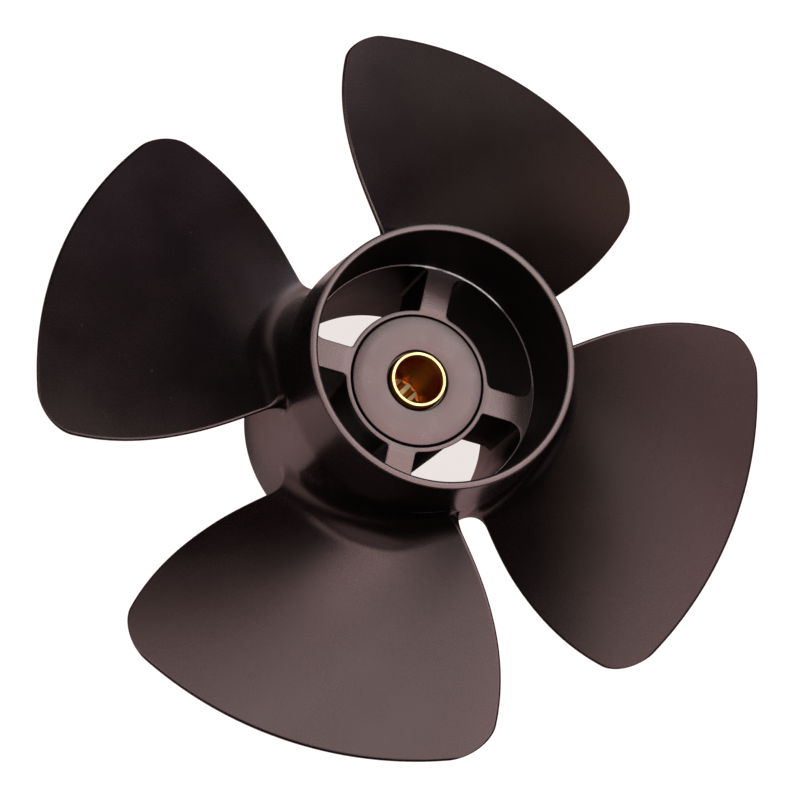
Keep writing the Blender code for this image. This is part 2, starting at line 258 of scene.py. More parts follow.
def lofted(bm, rows):
    """A closed solid through rows of points, with a flat cap at either end."""
    verts = add_rows(bm, rows, closed_rows=True, closed_columns=False)
    bm.faces.new(verts[0])
    bm.faces.new(verts[-1])


def boolean(target, cutter, operation):
    """Applies a Boolean to the target and removes the cutter."""
    modifier = target.modifiers.new("cut", "BOOLEAN")
    modifier.operation = operation
    modifier.object = cutter
    modifier.solver = "MANIFOLD"
    graph = bpy.context.evaluated_depsgraph_get()
    mesh = bpy.data.meshes.new_from_object(target.evaluated_get(graph))
    target.modifiers.clear()
    old = target.data
    target.data = mesh
    bpy.data.meshes.remove(old)
    mesh.shade_smooth()
    mesh.set_sharp_from_angle(angle=SHARP_ANGLE)
    bpy.data.objects.remove(cutter, do_unlink=True)


# Barrel and inner hub


def barrel_wall(height):
    """Outer radius of the barrel at a height."""
    if height > TAPER_HEIGHT:
        return between(BARREL_RADIUS, RIM_RADIUS, (height - TAPER_HEIGHT) / (BARREL_LENGTH - TAPER_HEIGHT))
    share = max(0.0, 1 - height / AFT_CURVE_HEIGHT)
    return between(BARREL_RADIUS, AFT_RADIUS, share**2)


def passage_radius(height):
    """Radius of the barrel's cast wall between its throat and the ledge."""
    return between(PASSAGE_RADIUS, THROAT_RADIUS, (STEP_HEIGHT - height) / (STEP_HEIGHT - THROAT_HEIGHT))


def hub_radius(height):
    """Outer radius of the inner hub at a height."""
    depth = STEP_HEIGHT - height
    body = between(HUB_BODY_RADIUS, HUB_AFT_RADIUS, depth / (STEP_HEIGHT - HUB_AFT_HEIGHT))
    return body + (HUB_FRONT_RADIUS - HUB_BODY_RADIUS) * max(0.0, 1 - depth / HUB_LIP_DEPTH) ** 2


def body_outline():
    """Section of the barrel, the inner hub and a full ring where the ribs are."""
    fine = FINE_ROUNDING
    seat = BUSH_AFT_HEIGHT - BUSH_GAP
    corners = [
        (RIM_INNER_RADIUS, BARREL_LENGTH, RIM_END_ROUNDINGS[0]),
        (RIM_RADIUS, BARREL_LENGTH, RIM_END_ROUNDINGS[1]),
        (BARREL_RADIUS, TAPER_HEIGHT, TAPER_ROUNDING),
        (BARREL_RADIUS, AFT_CURVE_HEIGHT, 0),
    ]
    for share in (0.8, 0.6, 0.4, 0.2):
        corners.append((barrel_wall(AFT_CURVE_HEIGHT * share), AFT_CURVE_HEIGHT * share, 0))
    corners += [
        (AFT_RADIUS, 0, RIM_ROUNDING),
        (AFT_INNER_RADIUS, 0, fine),
        (THROAT_RADIUS, THROAT_HEIGHT, 1 * MM),
        (passage_radius(RIB_AFT_HEIGHT), RIB_AFT_HEIGHT, 0),
        (hub_radius(RIB_AFT_HEIGHT), RIB_AFT_HEIGHT, 0),
        (HUB_AFT_RADIUS, HUB_AFT_HEIGHT, RIM_ROUNDING),
        (HUB_SHOULDER_RADIUS, HUB_AFT_HEIGHT, RIM_ROUNDING),
        (HUB_SHOULDER_RADIUS, seat, 0),
        (BUSH_BORE_RADIUS, seat, 0),
        (BUSH_BORE_RADIUS, STEP_HEIGHT - 2 * MOUTH_DEPTH, fine),
        (HUB_MOUTH_RADIUS, STEP_HEIGHT - MOUTH_DEPTH, fine),
        (HUB_MOUTH_RADIUS, STEP_HEIGHT, fine),
        (COUNTERBORE_RADIUS, STEP_HEIGHT, fine),
    ]
    return with_levels(rounded(corners))


def passage_side(hub, wall, half, near, far):
    """One side of a passage along the rib on +X, with a fillet at the hub and one at the wall.

    It returns the points from the hub outwards and the angles at which they leave hub and wall.
    """
    near_centre = (math.sqrt((hub + near) ** 2 - (half + near) ** 2), half + near)
    far_centre = (math.sqrt((wall - far) ** 2 - (half + far) ** 2), half + far)
    near_angle = math.atan2(near_centre[1], near_centre[0])
    far_angle = math.atan2(far_centre[1], far_centre[0])
    quarter = math.pi / 2
    points = arc(near_centre, near, near_angle - math.pi, -quarter, PASSAGE_FILLET_STEPS)
    points += arc(far_centre, far, -quarter, far_angle, PASSAGE_FILLET_STEPS)
    return points, near_angle, far_angle


def passage_outline(hub, wall, half, fillets):
    """Plan of an exhaust passage between a rib along +X and one along +Y.

    It has the hub's and the wall's radius, half the ribs' width and the four fillets.
    """
    first, near_start, far_start = passage_side(hub, wall, half, *fillets[:2])
    second, near_end, far_end = passage_side(hub, wall, half, *fillets[2:])
    quarter = math.pi / 2
    outer = arc((0, 0), wall, far_start, quarter - far_end, PASSAGE_ARC_STEPS)[1:-1]
    inner = arc((0, 0), hub, quarter - near_end, near_start, PASSAGE_ARC_STEPS)[1:-1]
    return first + outer + [(y, x) for x, y in reversed(second)] + inner


def passage_levels():
    """Height, inset of the ribs' sides, offset of all walls and clearance at each level of a passage's cutter."""
    under, fine = RIB_UNDER_ROUNDING, LEDGE_ROUNDING
    levels = [(RIB_AFT_HEIGHT - 1 * MM, under, 0.0, CUTTER_CLEARANCE)]
    for step in range(ARC_STEPS + 1):
        turn = math.pi / 2 * step / ARC_STEPS
        height = RIB_AFT_HEIGHT + under * (1 - math.cos(turn))
        levels.append((height, under * (1 - math.sin(turn)), 0.0, CUTTER_CLEARANCE))
    for share in (0.3, 0.6, 0.8):
        levels.append((between(RIB_AFT_HEIGHT, STEP_HEIGHT, share), 0.0, 0.0, 0.0))
    for share in (0.85, 0.7, 0.55, 0.4, 0.25, 0.1):
        levels.append((STEP_HEIGHT - HUB_LIP_DEPTH * share, 0.0, 0.0, 0.0))
    for step in range(ARC_STEPS + 1):
        turn = math.pi / 2 * step / ARC_STEPS
        levels.append((STEP_HEIGHT - fine * (1 - math.sin(turn)), 0.0, fine * (1 - math.cos(turn)), 0.0))
    return levels + [(STEP_HEIGHT + 1 * MM, 0.0, fine, 0.0)]


def passage_cutters():
    """The four exhaust passages as solids."""
    bm = bmesh.new()
    for number, fillets in enumerate(PASSAGE_FILLETS):
        turn = Matrix.Rotation(FIRST_RIB_ANGLE + number * 2 * math.pi / RIB_COUNT, 4, "Z")
        rows = []
        for height, inset, offset, clearance in passage_levels():
            plan = passage_outline(
                hub_radius(height) - offset + clearance,
                passage_radius(height) + offset - clearance,
                RIB_WIDTH / 2 - inset - offset,
                [fillet * MM + offset for fillet in fillets],
            )
            rows.append([turn @ Vector((x, y, height)) for x, y in plan])
        lofted(bm, rows)
    return mesh_object("passage_cutters", bm)


# Blades


def corner_cut(radius):
    """What a tip corner, a quarter of an ellipse, takes off the edge along the tip arc."""
    depth = radius - (TIP_RADIUS - CORNER_DEPTH)
    if depth <= 0:
        return 0.0
    return CORNER_REACH * (1 - math.sqrt(max(0.0, 1 - (depth / CORNER_DEPTH) ** 2)))


def leading_edge(radius):
    """Angle of the leading edge off the blade's midline."""
    curve = LEADING_CURVE if radius > WIDEST_RADIUS else LEADING_ROOT_CURVE
    return LEADING_ANGLE - curve * (radius - WIDEST_RADIUS) ** 2 - corner_cut(radius) / radius


def trailing_edge(radius):
    """Angle of the trailing edge off the blade's midline, below zero."""
    curve = TRAILING_CURVE if radius > WIDEST_RADIUS else TRAILING_ROOT_CURVE
    return -TRAILING_ANGLE + curve * (radius - WIDEST_RADIUS) ** 2 + corner_cut(radius) / radius


def forward_face(radius, angle):
    """Height of the blade's forward face at an angle off the midline."""
    outwards = radius - PITCH_RADIUS
    rise = (RISE_PER_RADIAN + PITCH_EASE * outwards) * angle + RISE_CURVE * angle**2
    return MIDLINE_HEIGHT + RAKE * outwards + rise


def face_tilt(radius, angle):
    """Tilt of the forward face round the axis."""
    rise = RISE_PER_RADIAN + PITCH_EASE * (radius - PITCH_RADIUS) + 2 * RISE_CURVE * angle
    return math.atan2(rise, radius)


def body_thickness(radius, share):
    """Blade thickness at a share of the chord, before its edges are shaped."""
    span = max(0.0, (radius - BARREL_RADIUS) / (TIP_RADIUS - BARREL_RADIUS))
    middle = between(ROOT_THICKNESS, TIP_THICKNESS, span**THICKNESS_POWER)
    return between(EDGE_THICKNESS, middle, max(0.0, 4 * share * (1 - share)) ** SWELL_POWER)


def fillet_rise(distance, fillet=ROOT_FILLET):
    """How far the root fillet stands off the blade, at a distance from the barrel's wall."""
    if distance >= fillet:
        return 0.0
    return fillet - math.sqrt(fillet**2 - (fillet - max(0.0, distance)) ** 2)


def forward_fillet_rise(distance, share):
    """What the forward face's root fillet, which is widest at one share of the chord, adds to the plain one."""
    off = (share - WIDEST_FILLET_SHARE) / (1 - WIDEST_FILLET_SHARE if share > WIDEST_FILLET_SHARE else 1)
    extra = WIDEST_FILLET_EXTRA * max(0.0, 1 - (off / WIDEST_FILLET_SPREAD) ** 2) ** 2
    return fillet_rise(distance, ROOT_FILLET + extra) - fillet_rise(distance)


def nose(distance, half):
    """Share of the full thickness at a distance from an edge that is rounded to a half circle."""
    if distance >= half:
        return 1.0
    return math.sqrt(max(0.0, 1 - (1 - distance / half) ** 2))


def chord_points(first, last, half_edge, per_radian):
    """Angles across a section, close together in its rounded edges and at the bevel's border."""
    nose_turns = [math.pi / 2 * step / NOSE_STEPS for step in range(NOSE_STEPS + 1)]
    nose_depths = [half_edge * (1 - math.cos(turn)) for turn in nose_turns]
    border = max(BEVEL_WIDTH, half_edge) + BORDER_STEP
    start = first + (half_edge + BORDER_STEP) / per_radian
    end = last - (border + 5 * BORDER_STEP) / per_radian
    trailing = [first + depth / per_radian for depth in nose_depths]
    middle = [between(start, end, step / CHORD_STEPS) for step in range(CHORD_STEPS + 1)]
    leading = [last - depth / per_radian for depth in [border, *reversed(nose_depths)]]
    return trailing + middle + leading


def blade_section(radius, base_angle):
    """A section drawn on a cylinder of this radius: layers of points from the forward to the aft face."""
    distance = radius - BARREL_RADIUS
    swell = fillet_rise(distance)
    sink = max(0.0, 1 - max(0.0, distance) / ROOT_FILLET)
    half_edge = EDGE_THICKNESS / 2 + swell
    per_radian = math.hypot(radius, RISE_PER_RADIAN)
    first = trailing_edge(radius) - swell / per_radian
    last = leading_edge(radius) + LEADING_SWELL * swell / per_radian
    bevel = BEVEL_WIDTH * max(0.0, 1 - swell / (2 * MM))
    tip_roundness = nose(TIP_RADIUS - radius, EDGE_THICKNESS / 2)
    grid = [[] for _ in range(LAYERS + 1)]
    for angle in chord_points(first, last, half_edge, per_radian):
        to_leading = (last - angle) * per_radian
        edge_nose = nose(min((angle - first) * per_radian, to_leading), half_edge)
        roundness = min(edge_nose, tip_roundness)
        share = (angle - first) / (last - first)
        forward = forward_fillet_rise(distance, share) * roundness
        thick = (body_thickness(radius, share) + 2 * swell) * roundness + forward
        start = half_edge * (1 - roundness) - swell - forward
        tilt = face_tilt(radius, angle)
        for layer, row in enumerate(grid):
            depth = start + thick * layer / LAYERS
            depth = max(depth, min(bevel - to_leading, half_edge) * BEVEL_SLOPE) if not swell else depth
            turn = base_angle + angle + depth * math.sin(tilt) / radius
            height = forward_face(radius, angle) - depth * math.cos(tilt)
            reach = radius + sink * (barrel_wall(height) - BARREL_RADIUS)
            row.append(Vector((reach * math.cos(turn), reach * math.sin(turn), height)))
    return grid


def radial_stations():
    """Radii of the blade's sections, from inside the barrel's wall to the tip."""
    quarter = math.pi / 2
    widest = ROOT_FILLET + WIDEST_FILLET_EXTRA
    fillet = [
        BARREL_RADIUS + widest * (1 - math.cos(quarter * step / FILLET_STEPS))
        for step in range(FILLET_STEPS + 1)
    ]
    body_end = TIP_RADIUS - CORNER_DEPTH
    body = [between(fillet[-1], body_end, step / BODY_STEPS) for step in range(1, BODY_STEPS + 1)]
    corner = [
        body_end + CORNER_DEPTH * math.sin(quarter * step / CORNER_STEPS)
        for step in range(1, CORNER_STEPS + 1)
    ]
    return [BARREL_RADIUS - ROOT_DEPTH] + fillet + body + corner


def section_outline(grid):
    """The points round a section: forward face, leading edge, aft face and trailing edge."""
    leading = [row[-1] for row in grid[1:-1]]
    trailing = [row[0] for row in reversed(grid[1:-1])]
    return grid[0] + leading + grid[-1][::-1] + trailing


def make_blades():
    """The four blades as solids whose roots run on inside the barrel's wall."""
    bm = bmesh.new()
    for number in range(BLADE_COUNT):
        base_angle = FIRST_BLADE_ANGLE + number * 2 * math.pi / BLADE_COUNT
        sections = [blade_section(radius, base_angle) for radius in radial_stations()]
        add_rows(bm, [section_outline(s) for s in sections], closed_rows=True, closed_columns=False)
        add_rows(bm, sections[0], closed_rows=False, closed_columns=False)
    bmesh.ops.remove_doubles(bm, verts=bm.verts, dist=0.002 * MM)
    bmesh.ops.dissolve_degenerate(bm, edges=bm.edges, dist=0.002 * MM)
    return mesh_object("blades", bm)


def make_casting(materials):
    """The one casting: barrel, inner hub, ribs and blades. Its materials are those of the outside, the
    turned faces, the inside and the barrel's inner wall.
    """
    casting = turned("casting", body_outline(), ROUND_STEPS, materials)
    boolean(casting, passage_cutters(), "DIFFERENCE")
    boolean(casting, make_blades(), "UNION")
    for face in casting.data.polygons:
        radius, height = face.center.xy.length, face.center.z
        at_step = radius < COUNTERBORE_RADIUS and abs(height - STEP_HEIGHT) < FINE_ROUNDING
        at_rim = height > BARREL_LENGTH - RIM_ROUNDING
        if face.normal.z > 0.5 and (at_step or at_rim):
            face.material_index = TURNED
        elif radius < RIM_INNER_RADIUS + FINE_ROUNDING or radius < AFT_INNER_RADIUS and height < STEP_HEIGHT:
            faces_in = -face.normal.xy.dot(face.center.xy) > WALL_SHARE * radius
            of_wall = faces_in and radius > WALL_INNER_RADIUS and height < STEP_HEIGHT - FINE_ROUNDING
            face.material_index = WALL if of_wall else INSIDE
        else:
            face.material_index = OUTSIDE
    return casting


# Bush and sleeve


def make_bush(materials):
    fine = FINE_ROUNDING
    face, recess = BUSH_FACE_HEIGHT, BUSH_FACE_HEIGHT - BUSH_RECESS_DEPTH
    corners = [
        (BUSH_RECESS_RADIUS, face, 0.4 * MM),
        (BUSH_FACE_RADIUS, face, 0.35 * MM),
        (BUSH_FACE_RADIUS, face - MOUTH_DEPTH, fine),
        (BUSH_BORE_RADIUS - BUSH_GAP, face - 2 * MOUTH_DEPTH - 2 * BUSH_GAP, fine),
        (BUSH_BORE_RADIUS - BUSH_GAP, BUSH_AFT_HEIGHT, fine),
        (SLEEVE_RADIUS + BUSH_GAP, BUSH_AFT_HEIGHT, fine),
        (SLEEVE_RADIUS + BUSH_GAP, recess, fine),
        (BUSH_RECESS_RADIUS, recess, fine),
    ]
    return turned("bush", with_levels(rounded(corners)), HUB_STEPS, materials)


def spline_outline():
    """Section of the splined bore, with a flat tooth and a round groove in each pitch."""
    shares = [(TOOTH_START, SPLINE_TIP_RADIUS), (TOOTH_END, SPLINE_TIP_RADIUS)]
    for step in range(GROOVE_STEPS + 1):
        shares.append((between(GROOVE_START, GROOVE_END, step / GROOVE_STEPS), SPLINE_ROOT_RADIUS))
    pitch = 2 * math.pi / SPLINE_COUNT
    angles = [((tooth + share) * pitch, r) for tooth in range(SPLINE_COUNT) for share, r in shares]
    return [(radius * math.cos(angle), radius * math.sin(angle)) for angle, radius in angles]


def make_sleeve(materials):
    """The sleeve: a turned ring whose aft part is thicker inside, broached with splines."""
    chamfer = SLEEVE_CHAMFER
    inner = SPLINE_TIP_RADIUS - 1 * MM
    corners = [
        (SLEEVE_BORE_RADIUS, SLEEVE_FRONT_HEIGHT, chamfer),
        (SLEEVE_RADIUS, SLEEVE_FRONT_HEIGHT, chamfer),
        (SLEEVE_RADIUS, SLEEVE_AFT_HEIGHT, chamfer),
        (inner, SLEEVE_AFT_HEIGHT, 0),
        (inner, SPLINE_TOP_HEIGHT, 0),
        (SLEEVE_BORE_RADIUS, SPLINE_TOP_HEIGHT, 0),
    ]
    sleeve = turned("sleeve", with_levels(rounded(corners)), HUB_STEPS, materials)
    bm = bmesh.new()
    heights = (SLEEVE_AFT_HEIGHT - 1 * MM, SPLINE_TOP_HEIGHT + 1 * MM)
    lofted(bm, [[(x, y, height) for x, y in spline_outline()] for height in heights])
    boolean(sleeve, mesh_object("broach", bm), "DIFFERENCE")
    return sleeve


# Materials


class Nodes:
    """Short ways to add nodes to a material."""

    def __init__(self, name):
        self.material = bpy.data.materials.new(name)
        self.material.use_nodes = True
        self.tree = self.material.node_tree
        self.shader = self.tree.nodes["Principled BSDF"]
        self.position = self.add("ShaderNodeTexCoord").outputs["Object"]

    def add(self, kind, **settings):
        node = self.tree.nodes.new(kind)
        for name, value in settings.items():
            setattr(node, name, value)
        return node

    def put(self, value, socket):
        if isinstance(value, bpy.types.NodeSocket):
            self.tree.links.new(value, socket)
        else:
            socket.default_value = value

    def math(self, operation, *values):
        node = self.add("ShaderNodeMath", operation=operation)
        for value, socket in zip(values, node.inputs):
            self.put(value, socket)
        return node.outputs["Value"]

    def noise(self, scale, detail=2.0, roughness=0.5, where=None):
        node = self.add("ShaderNodeTexNoise")
        self.put(where or self.position, node.inputs["Vector"])
        for name, value in (("Scale", scale), ("Detail", detail), ("Roughness", roughness)):
            self.put(value, node.inputs[name])
        return node.outputs["Fac"]

    def ramp(self, factor, low, high, start=0.0, end=1.0):
        """The factor between low and high, made to run from start to end."""
        node = self.add("ShaderNodeMapRange", clamp=True)
        for name, value in (("Value", factor), ("From Min", low), ("From Max", high), ("To Min", start), ("To Max", end)):
            self.put(value, node.inputs[name])
        return node.outputs["Result"]

    def mix(self, factor, first, second):
        """A colour between two colours."""
        node = self.add("ShaderNodeMix", data_type="RGBA")
        self.put(factor, node.inputs["Factor"])
        sockets = [socket for socket in node.inputs if socket.type == "RGBA"]
        self.put(first, sockets[0])
        self.put(second, sockets[1])
        return next(socket for socket in node.outputs if socket.type == "RGBA")

    def specks(self, scale, size, share):
        """1 in small round specks, one in a share of the cells of a grid with this scale."""
        cells = self.add("ShaderNodeTexVoronoi")
        self.put(self.position, cells.inputs["Vector"])
        self.put(scale, cells.inputs["Scale"])
        chosen = self.math("LESS_THAN", self.channel(cells.outputs["Color"], 0), share)
        return self.math("MULTIPLY", chosen, self.ramp(cells.outputs["Distance"], size, size * 0.5))

    def channel(self, colour, index):
        return self.position_part(colour, index)

    def position_part(self, vector, index):
        node = self.add("ShaderNodeSeparateXYZ")
        self.put(vector, node.inputs[0])
        return node.outputs[index]

    def radius(self):
        """Distance from the shaft."""
        x, y = self.position_part(self.position, 0), self.position_part(self.position, 1)
        return self.math("SQRT", self.math("ADD", self.math("MULTIPLY", x, x), self.math("MULTIPLY", y, y)))

    def distance(self, place):
        """Distance from a point."""
        node = self.add("ShaderNodeVectorMath", operation="DISTANCE")
        self.put(self.position, node.inputs[0])
        node.inputs[1].default_value = place
        return node.outputs["Value"]

    def rings(self, scale, detail=3.0):
        """Noise that changes only with the distance from the shaft, like the marks of a lathe tool."""
        node = self.add("ShaderNodeTexNoise", noise_dimensions="1D")
        self.put(self.radius(), node.inputs["W"])
        self.put(scale, node.inputs["Scale"])
        self.put(detail, node.inputs["Detail"])
        return node.outputs["Fac"]

    def bump(self, height, distance, strength=1.0, under=None):
        node = self.add("ShaderNodeBump")
        self.put(height, node.inputs["Height"])
        self.put(distance, node.inputs["Distance"])
        self.put(strength, node.inputs["Strength"])
        if under:
            self.put(under, node.inputs["Normal"])
        return node.outputs["Normal"]

    def set(self, **values):
        """Values or links for the shader's sockets, such as base_color or roughness."""
        for name, value in values.items():
            label = "IOR" if name == "ior" else name.replace("_", " ").title()
            self.put(value, self.shader.inputs[label])
        return self.material


def black_paint():
    """Satin black paint on cast aluminium, with a soft grain and a little dust."""
    made = Nodes("black_paint")
    blotches = made.noise(55, detail=3)
    grain = made.noise(1800, detail=3, roughness=0.6)
    peel = made.noise(420, detail=2)
    dust = made.specks(260, 0.1, 0.05)
    colour = made.mix(blotches, (0.0014, 0.0010, 0.0011, 1), (0.0040, 0.0030, 0.0029, 1))
    colour = made.mix(dust, colour, (0.035, 0.030, 0.029, 1))
    rough = made.math("ADD", made.ramp(blotches, 0.3, 0.7, 0.25, 0.28), made.ramp(grain, 0.3, 0.7, -0.02, 0.02))
    normal = made.bump(peel, 0.010 * MM, under=made.bump(grain, 0.003 * MM))
    return made.set(
        base_color=colour,
        roughness=rough,
        normal=normal,
        specular_tint=(1.0, 0.69, 0.685, 1),
        ior=1.55,
    )


def inside_paint():
    """Thin matt paint on the ribs' sides, the inner hub and the counterbore."""
    made = Nodes("inside_paint")
    blotches = made.noise(140, detail=4)
    grain = made.noise(900, detail=5, roughness=0.65)
    colour = made.mix(blotches, (0.0025, 0.0020, 0.0019, 1), (0.0055, 0.0043, 0.0040, 1))
    rough = made.math("ADD", made.ramp(blotches, 0.3, 0.7, 0.58, 0.68), made.ramp(grain, 0.3, 0.7, -0.04, 0.04))
    return made.set(
        base_color=colour,
        roughness=rough,
        normal=made.bump(grain, 0.05 * MM),
        specular_tint=(1.0, 0.74, 0.70, 1),
        ior=1.30,
    )


def wall_paint():
    """Paint on the barrel's cast inner wall, with the mould's faint drag lines down it."""
    made = Nodes("wall_paint")
    blotches = made.noise(90, detail=4)
    drag = made.noise(1, detail=3, where=made.stretched(900, 900, 60))
    grain = made.noise(1500, detail=4, roughness=0.6)
    colour = made.mix(blotches, (0.0030, 0.0023, 0.0021, 1), (0.0060, 0.0045, 0.0040, 1))
    rough = made.math("ADD", made.ramp(blotches, 0.3, 0.7, 0.30, 0.38), made.ramp(grain, 0.3, 0.7, -0.03, 0.03))
    return made.set(
        base_color=colour,
        roughness=rough,
        normal=made.bump(drag, 0.020 * MM, under=made.bump(grain, 0.006 * MM)),
        specular_tint=(1.0, 0.72, 0.69, 1),
        ior=1.50,
    )


def ledge_glint(made):
    """1 along the stretch of the ledge that is painted white as a glint, fading at its ends."""
    azimuth = made.math("ARCTAN2", made.position_part(made.position, 1), made.position_part(made.position, 0))
    first, last = GLINT_AZIMUTHS
    begun = made.ramp(azimuth, first, first + GLINT_FADE)
    left = made.ramp(azimuth, last, last - GLINT_FADE)
    ledge = made.ramp(made.radius(), PASSAGE_RADIUS - 0.1 * MM, PASSAGE_RADIUS)
    under_rim = made.ramp(made.position_part(made.position, 2), BARREL_LENGTH - 2 * MM, BARREL_LENGTH - 3 * MM)
    patchy = made.ramp(made.noise(260, detail=3), 0.30, 0.50)
    glint = made.math("MULTIPLY", made.math("MULTIPLY", begun, left), made.math("MULTIPLY", ledge, under_rim))
    return made.math("MULTIPLY", glint, patchy)


def turned_paint():
    """Thin satin paint over faces from the lathe, whose rings still show."""
    made = Nodes("turned_paint")
    rings = made.rings(2600)
    broad = made.rings(500)
    blotches = made.noise(120, detail=3)
    grain = made.noise(3000, detail=2)
    dust = made.specks(300, 0.12, 0.06)
    colour = made.mix(blotches, (0.010, 0.0082, 0.0080, 1), (0.020, 0.0165, 0.0160, 1))
    colour = made.mix(dust, colour, (0.075, 0.066, 0.063, 1))
    # painted glint: a white stretch along the edge of the ledge
    colour = made.mix(ledge_glint(made), colour, (0.95, 0.95, 0.94, 1))
    rough = made.math("ADD", made.ramp(blotches, 0.3, 0.7, 0.25, 0.29), made.ramp(rings, 0.3, 0.7, -0.02, 0.02))
    height = made.math("ADD", rings, made.math("MULTIPLY", broad, 0.5))
    normal = made.bump(height, 0.004 * MM, under=made.bump(grain, 0.002 * MM))
    return made.set(
        base_color=colour,
        roughness=rough,
        normal=normal,
        specular_tint=(1.0, 0.75, 0.735, 1),
        ior=1.62,
    )


def bush_rubber():
    """Rubber painted over, slightly softer than the metal round it."""
    made = Nodes("bush_rubber")
    blotches = made.noise(140, detail=4)
    grain = made.noise(2200, detail=4, roughness=0.65)
    dust = made.specks(330, 0.12, 0.07)
    colour = made.mix(blotches, (0.010, 0.0082, 0.0080, 1), (0.022, 0.0180, 0.0172, 1))
    colour = made.mix(dust, colour, (0.075, 0.066, 0.063, 1))
    rough = made.math("ADD", made.ramp(blotches, 0.3, 0.7, 0.27, 0.31), made.ramp(grain, 0.3, 0.7, -0.02, 0.02))
    normal = made.bump(grain, 0.006 * MM, under=made.bump(made.rings(700), 0.004 * MM))
    return made.set(
        base_color=colour,
        roughness=rough,
        normal=normal,
        specular_tint=(1.0, 0.75, 0.735, 1),
        ior=1.62,
    )


def brass():
    """Turned and broached brass, bright where it was cut. Deeper in the bore its colour is painted darker and
    redder as shade, and its grooves paler as a painted reflection of the floor below.
    """
    made = Nodes("brass")
    height = made.position_part(made.position, 2)
    # painted shade: below the front the brass turns to the dark, red bore colour
    deep = made.ramp(height, SLEEVE_FRONT_HEIGHT - 1.0 * MM, SLEEVE_FRONT_HEIGHT - 4 * MM)
    stain = made.noise(300, detail=4)
    turning = made.noise(1, detail=3, where=made.stretched(300, 300, 5000))
    clean = made.mix(stain, (0.84, 0.55, 0.24, 1), (0.70, 0.41, 0.15, 1))
    bore = made.mix(stain, (0.34, 0.034, 0.008, 1), (0.22, 0.020, 0.004, 1))
    # painted reflection: the grooves are paler, as if mirroring the floor below
    in_groove = made.ramp(made.radius(), between(SPLINE_TIP_RADIUS, SPLINE_ROOT_RADIUS, 0.5), SPLINE_ROOT_RADIUS)
    splines = made.mix(in_groove, bore, (0.95, 0.78, 0.52, 1))
    below = made.ramp(height, SPLINE_TOP_HEIGHT - 0.1 * MM, SPLINE_TOP_HEIGHT - 0.2 * MM)
    brown = made.mix(below, bore, splines)
    at_top = made.math("COMPARE", height, SPLINE_TOP_HEIGHT, 0.1 * MM)
    tooth_ends = made.math("MULTIPLY", at_top, made.math("LESS_THAN", made.radius(), SPLINE_ROOT_RADIUS))
    brown = made.mix(tooth_ends, brown, (1.0, 0.50, 0.12, 1))
    rough = made.math("ADD", made.ramp(stain, 0.3, 0.7, 0.30, 0.40), made.ramp(turning, 0.3, 0.7, -0.04, 0.04))
    return made.set(
        base_color=made.mix(deep, clean, brown),
        metallic=1.0,
        specular_tint=(1.0, 0.72, 0.42, 1),
        roughness=rough,
        normal=made.bump(turning, 0.004 * MM),
    )


def stretched(self, x, y, z):
    """The position scaled on each axis."""
    node = self.add("ShaderNodeVectorMath", operation="MULTIPLY")
    self.put(self.position, node.inputs[0])
    node.inputs[1].default_value = (x, y, z)
    return node.outputs["Vector"]


Nodes.stretched = stretched


# Stage

FLOOR_SIZE = 6.0
FLOOR_GAP = 0.1 * MM  # of each plane of the floor under the next thing above it
FLOOR_GLOW = 0.83, 1.15  # of the sheet inside the barrel, lower there as painted shade, and outside it
FLOOR_GLOW_COLOUR = (1.0, 0.93, 0.905, 1)
FLOOR_COLOUR = (0.80, 0.70, 0.68, 1)
SHADE_COLOUR = (0.28, 0.24, 0.23, 1)  # painted shade of the floor inside the barrel, also the colour of the painted soft shadow
BOUNCE = 0.27  # painted glow of the floor round the object, standing in for light from a wide white sweep
BOUNCE_FADE = 0.12, 0.25, 1.0, 0.25  # it fades between these radii, to this share
BOUNCE_COLOUR = (1.0, 0.55, 0.53, 1)
BORE_GLOW = 0.8
BORE_COLOUR = (1.0, 0.92, 0.82, 1)
SPOTS = (  # place, radius, strength and colour of the floor's painted glowing spots
    ((26 * MM, -37 * MM, 0), 20 * MM, 0.47, BOUNCE_COLOUR),  # two painted pools of light where light would fall through the passages
    ((18 * MM, 38 * MM, 0), 20 * MM, 0.13, BOUNCE_COLOUR),
    ((-33 * MM, 0, 0), 19 * MM, 0.45, (1.0, 0.90, 0.80, 1)),  # one painted glow in the shade of a passage
    ((230 * MM, 140 * MM, 0), 160 * MM, 2.2, (0.75, 0.85, 1.0, 1)),  # and one painted glow on the sweep
)
SPOT_CORE = 0.4  # share of a spot's radius within which it has its full strength
SHADOW_PLACE = (-108 * MM, 0, 0)  # of the painted soft shadow between two blades
SHADOW_RADIUS = 45 * MM
FAR_COLOUR = (0.05, 0.045, 0.045, 1)  # of the floor past the sweep
FAR_FADE = 0.30, 0.60  # radii between which it begins
LAMP_DISTANCE = 1.5
LAMP_SIZE = 0.475
